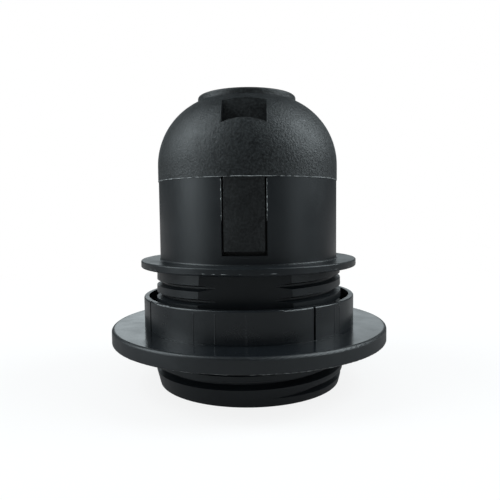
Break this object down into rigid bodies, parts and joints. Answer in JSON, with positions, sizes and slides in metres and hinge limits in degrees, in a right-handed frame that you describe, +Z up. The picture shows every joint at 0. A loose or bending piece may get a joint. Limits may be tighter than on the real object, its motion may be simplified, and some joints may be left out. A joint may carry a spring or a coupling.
{
  "type": "lamp holder",
  "caption": "Lamp holder with a domed cap and tapped cable entry, a shell with a threaded skirt round its screw socket, and a screw-on ring that clamps a shade.",
  "frame": {"origin": "centre of the skirt's rim, at the bottom of the object", "axes": "+Z up the axis to the cable entry; the front tongue and window face -Y"},
  "size_m": [0.0574, 0.0574, 0.059],
  "materials": {
    "shell_plastic": "smooth satin black moulding",
    "cap_plastic": "fine-grained matt black moulding",
    "ring_plastic": "smooth satin black moulding",
    "block_plastic": "matt black moulding",
    "socket_metal": "rolled sheet",
    "spring_bronze": "bright spring strip",
    "rivet_brass": "turned",
    "terminal_brass": "stamped",
    "plated_steel": "zinc plated",
    "bush_steel": "zinc plated, turned"
  },
  "bodies": {
    "shell": {"threaded_shell": "shell_plastic", "terminal_block": "block_plastic", "screw_shell": "socket_metal", "centre_contact_rivet": "rivet_brass", "neutral_rivet": "rivet_brass", "screw_shell_rivet_front": "rivet_brass", "screw_shell_rivet_back": "rivet_brass", "live_terminal": "terminal_brass", "neutral_terminal": "terminal_brass"},
    "cap": {"dome_cap": "cap_plastic", "entry_bush": "bush_steel"},
    "lock_screw": {"lock_screw": "plated_steel"},
    "shade_ring": {"shade_ring": "ring_plastic"},
    "centre_contact": {"centre_contact": "spring_bronze"},
    "live_clamp": {"live_clamp_washer": "plated_steel"},
    "live_screw": {"live_terminal_screw": "plated_steel"},
    "neutral_clamp": {"neutral_clamp_washer": "plated_steel"},
    "neutral_screw": {"neutral_terminal_screw": "plated_steel"}
  },
  "joints": [
    {"name": "cap_lift", "type": "slide", "parent": "shell", "child": "cap", "axis": [0, 0, 1], "range_m": [0, 0.03]},
    {"name": "lock_screw_travel", "type": "slide", "parent": "cap", "child": "lock_screw", "axis": [0, 1, 0], "range_m": [-0.0006, 0.0015]},
    {"name": "shade_ring_travel", "type": "slide", "parent": "shell", "child": "shade_ring", "axis": [0, 0, 1], "range_m": [-0.0085, 0.0059]},
    {"name": "centre_contact_flex", "type": "hinge", "parent": "shell", "child": "centre_contact", "pos_m": [0.0046, 0, 0.0252], "axis": [0, 1, 0], "range_deg": [0, 9], "stiffness_Nm_per_rad": 0.1},
    {"name": "live_clamp_travel", "type": "slide", "parent": "shell", "child": "live_clamp", "axis": [0, 0, 1], "range_m": [-0.0011, 0.001]},
    {"name": "live_screw_turn", "type": "hinge", "parent": "live_clamp", "child": "live_screw", "pos_m": [0.0086, 0, 0.034], "axis": [0, 0, 1], "range_deg": [-795, 723]},
    {"name": "neutral_clamp_travel", "type": "slide", "parent": "shell", "child": "neutral_clamp", "axis": [0, 0, 1], "range_m": [-0.0011, 0.001]},
    {"name": "neutral_screw_turn", "type": "hinge", "parent": "neutral_clamp", "child": "neutral_screw", "pos_m": [-0.0074, 0, 0.034], "axis": [0, 0, 1], "range_deg": [-795, 723]}
  ],
  "couplings": [
    {"joint": "live_screw_turn", "follows": "live_clamp_travel", "rad_per_m": 12566},
    {"joint": "neutral_screw_turn", "follows": "neutral_clamp_travel", "rad_per_m": 12566}
  ]
}
